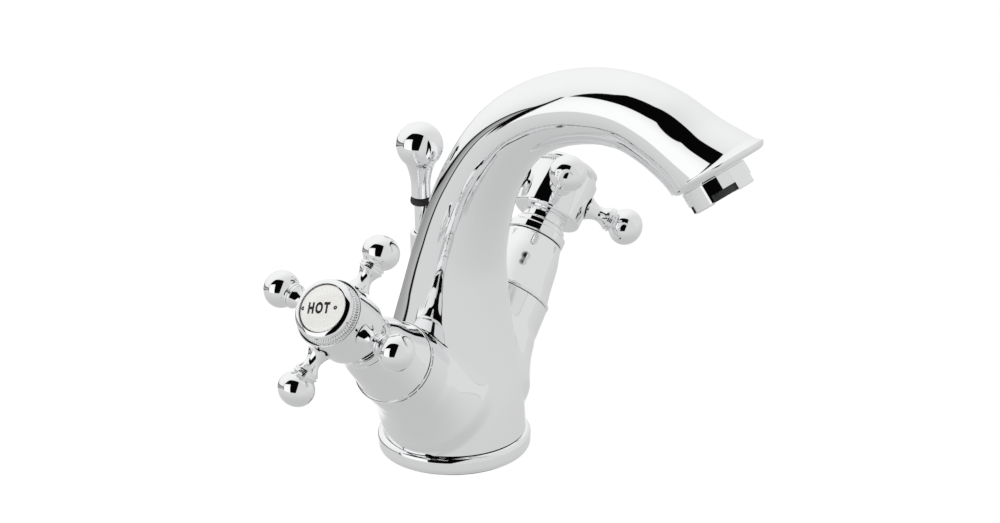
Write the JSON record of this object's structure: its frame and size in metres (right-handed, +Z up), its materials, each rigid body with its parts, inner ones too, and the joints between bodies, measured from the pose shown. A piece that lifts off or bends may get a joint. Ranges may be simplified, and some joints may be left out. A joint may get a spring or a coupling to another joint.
{
  "type": "bathroom mixer faucet",
  "caption": "Traditional deck-mounted basin mixer: swan-neck spout, hot and cold cross-head handles on angled valves, pop-up waste lift rod behind.",
  "frame": {"origin": "middle of the underside that sits on the deck", "axes": "+Z up, spout towards -Y, hot valve towards -X, cold valve towards +X"},
  "size_m": [0.1767, 0.1601, 0.217],
  "materials": {
    "chrome": "bright polished chrome plate on brass",
    "porcelain": "white glazed porcelain",
    "ceramic": "lapped alumina",
    "rubber": "black moulded rubber",
    "brass": "turned brass",
    "steel": "zinc-plated or stainless steel",
    "plastic": "moulded acetal"
  },
  "bodies": {
    "mixer_body": {"cast_body": "chrome", "base_ring": "chrome", "aerator_housing": "chrome", "rod_bush": "chrome", "base_seal": "rubber", "aerator_washer": "rubber", "aerator_insert": "plastic", "aerator_screen": "steel", "hot_shroud": "chrome", "hot_bonnet_ring": "chrome", "hot_headwork": "brass", "hot_fixed_disc": "ceramic", "hot_seat_seal": "rubber", "cold_shroud": "chrome", "cold_bonnet_ring": "chrome", "cold_headwork": "brass", "cold_fixed_disc": "ceramic", "cold_seat_seal": "rubber", "clamp_rubber": "rubber", "clamp_plate": "steel", "fixing_nut": "brass", "fixing_stud": "steel"},
    "hot_handle": {"hot_hub": "chrome", "hot_arm_1": "chrome", "hot_arm_2": "chrome", "hot_arm_3": "chrome", "hot_arm_4": "chrome", "hot_bezel": "chrome", "hot_index_disc": "porcelain", "hot_handle_screw": "steel", "hot_spindle": "brass", "hot_moving_disc": "ceramic", "hot_stem_o_ring": "rubber", "hot_circlip": "steel"},
    "cold_handle": {"cold_hub": "chrome", "cold_arm_1": "chrome", "cold_arm_2": "chrome", "cold_arm_3": "chrome", "cold_arm_4": "chrome", "cold_bezel": "chrome", "cold_index_disc": "porcelain", "cold_handle_screw": "steel", "cold_spindle": "brass", "cold_moving_disc": "ceramic", "cold_stem_o_ring": "rubber", "cold_circlip": "steel"},
    "lift_assembly": {"lift_knob": "chrome", "lift_rod": "chrome", "lift_stop_ring": "rubber"}
  },
  "joints": [
    {"name": "hot_turn", "type": "hinge", "parent": "mixer_body", "child": "hot_handle", "pos_m": [-0.0655, 0, 0.0726], "axis": [-0.7431, 0, 0.6691], "range_deg": [0, 90]},
    {"name": "cold_turn", "type": "hinge", "parent": "mixer_body", "child": "cold_handle", "pos_m": [0.0655, 0, 0.0726], "axis": [0.7431, 0, 0.6691], "range_deg": [-90, 0]},
    {"name": "lift_slide", "type": "slide", "parent": "mixer_body", "child": "lift_assembly", "axis": [0, 0, 1], "range_m": [-0.008, 0.02]}
  ]
}
